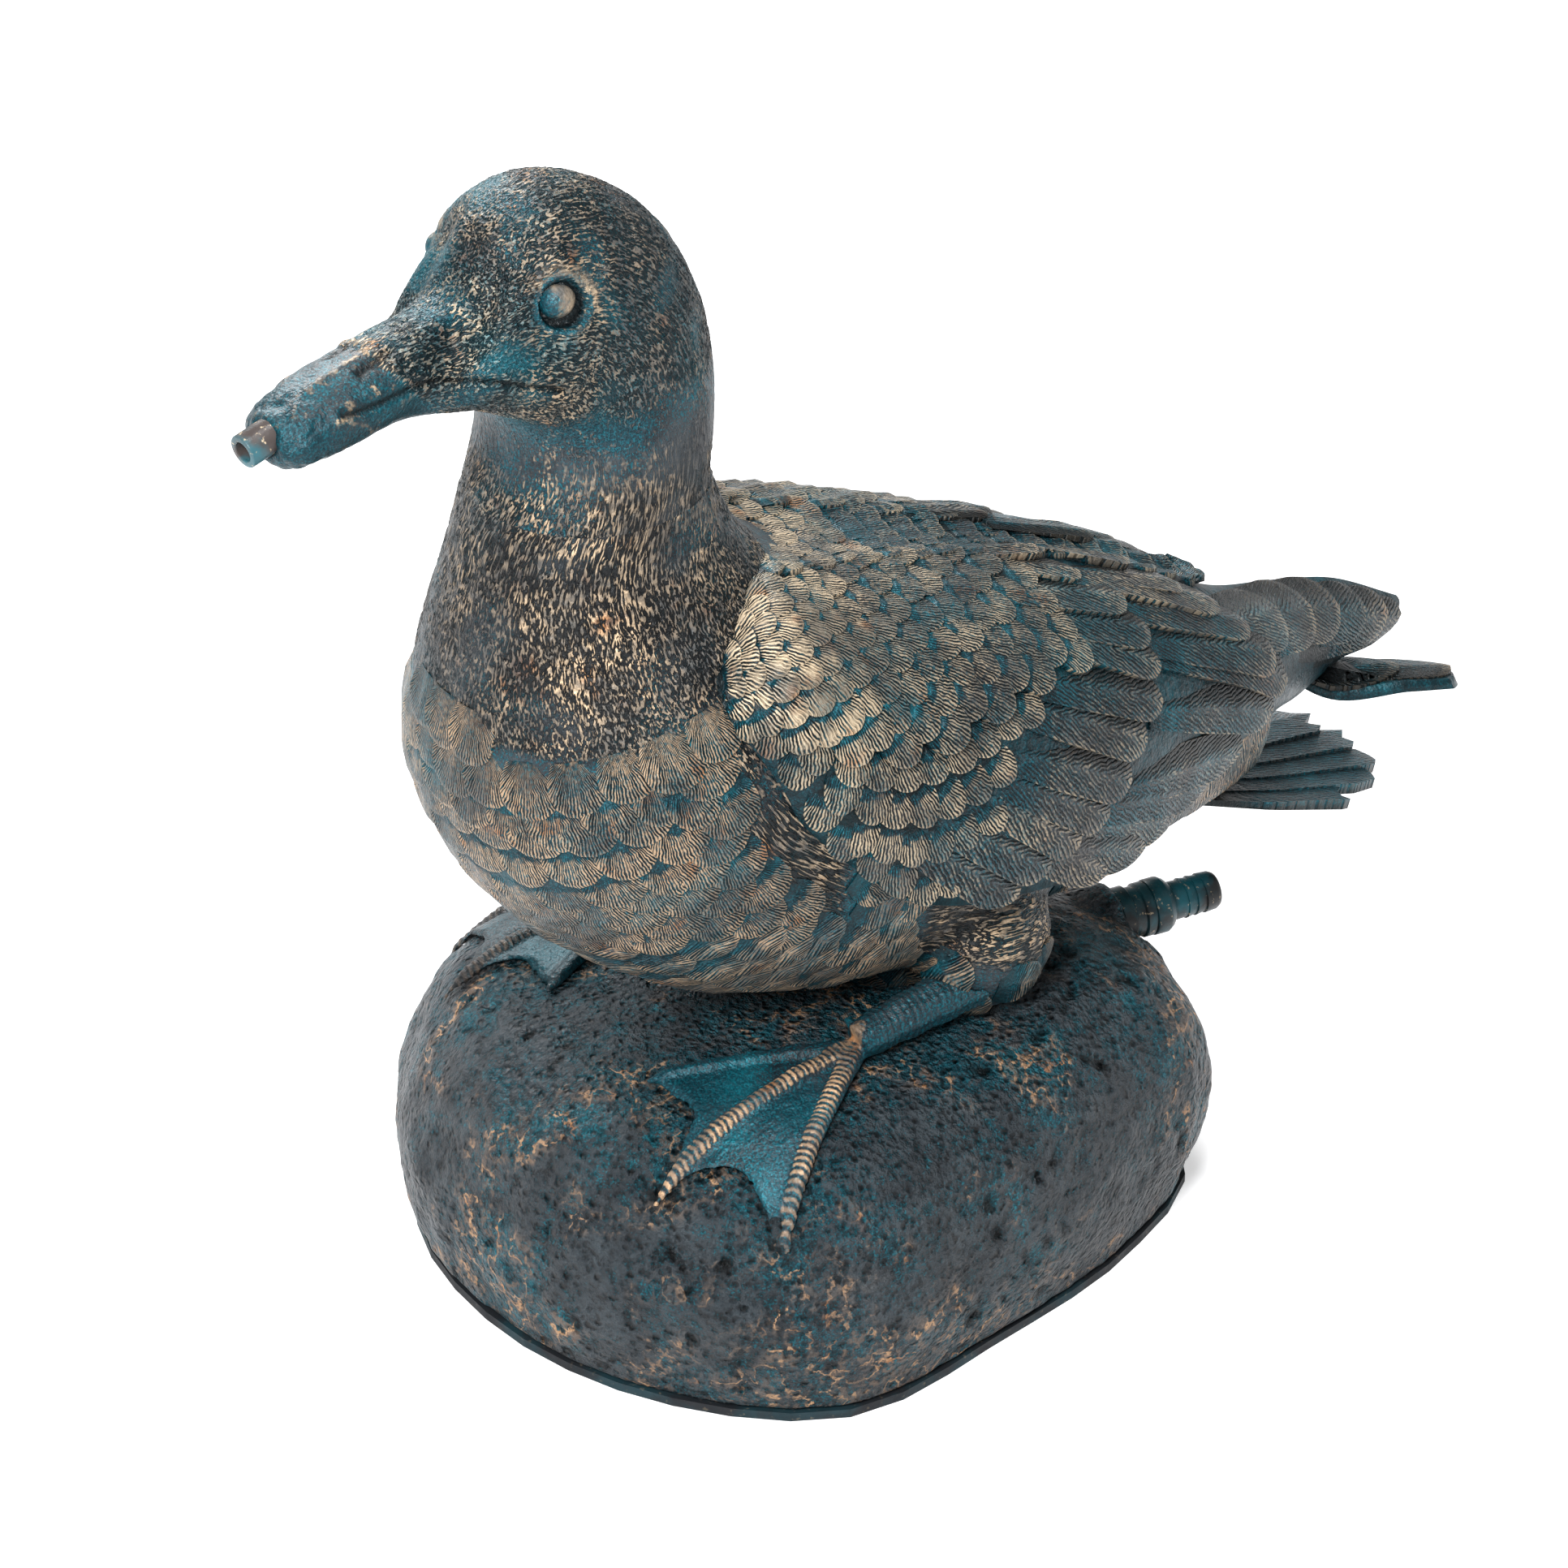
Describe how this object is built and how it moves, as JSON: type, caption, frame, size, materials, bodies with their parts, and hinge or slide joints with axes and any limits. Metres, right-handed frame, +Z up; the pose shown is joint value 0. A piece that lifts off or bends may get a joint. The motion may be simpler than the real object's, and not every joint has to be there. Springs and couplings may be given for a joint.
{
  "type": "duck fountain spout",
  "caption": "Standing duck figure on a rounded boulder that pours water from a short tube in its bill, with a stepped hose connector at the rear.",
  "frame": {"origin": "centre of the base plate's underside, on the ground plane", "axes": "+Z up, the bill points to -Y, the duck's left side is +X"},
  "size_m": [0.2516, 0.5079, 0.4315],
  "materials": {
    "feather_resin": "cast resin, dark charcoal with teal patina in the recesses and bronze-gold brushed over the raised edges",
    "head_resin": "cast resin, teal-green patina with gold brushed over the raised strokes",
    "stone_resin": "cast resin, pitted stone texture, blue-charcoal with faint orange veins",
    "foot_resin": "cast resin, teal web with gold brushed over the ribbed toes",
    "black_plastic": "moulded, satin",
    "grey_plastic": "extruded tube with overspray",
    "clear_vinyl": "flexible hose, smooth",
    "seal_rubber": "plain",
    "zinc_steel": "zinc plated"
  },
  "bodies": {
    "root": {"body_casting": "feather_resin", "head_casting": "head_resin", "left_wing": "feather_resin", "right_wing": "feather_resin", "tail_fan": "feather_resin", "rock_casting": "stone_resin", "base_plate": "black_plastic", "base_screw_1": "zinc_steel", "base_screw_2": "zinc_steel", "base_screw_3": "zinc_steel", "base_screw_4": "zinc_steel", "left_stud": "zinc_steel", "left_washer": "zinc_steel", "left_nut": "zinc_steel", "right_stud": "zinc_steel", "right_washer": "zinc_steel", "right_nut": "zinc_steel", "left_foot": "foot_resin", "right_foot": "foot_resin", "spout_tube": "grey_plastic", "hose_connector": "black_plastic", "connector_gasket": "seal_rubber", "connector_locknut": "black_plastic", "inner_hose": "clear_vinyl", "hose_clip": "zinc_steel"}
  },
  "joints": []
}
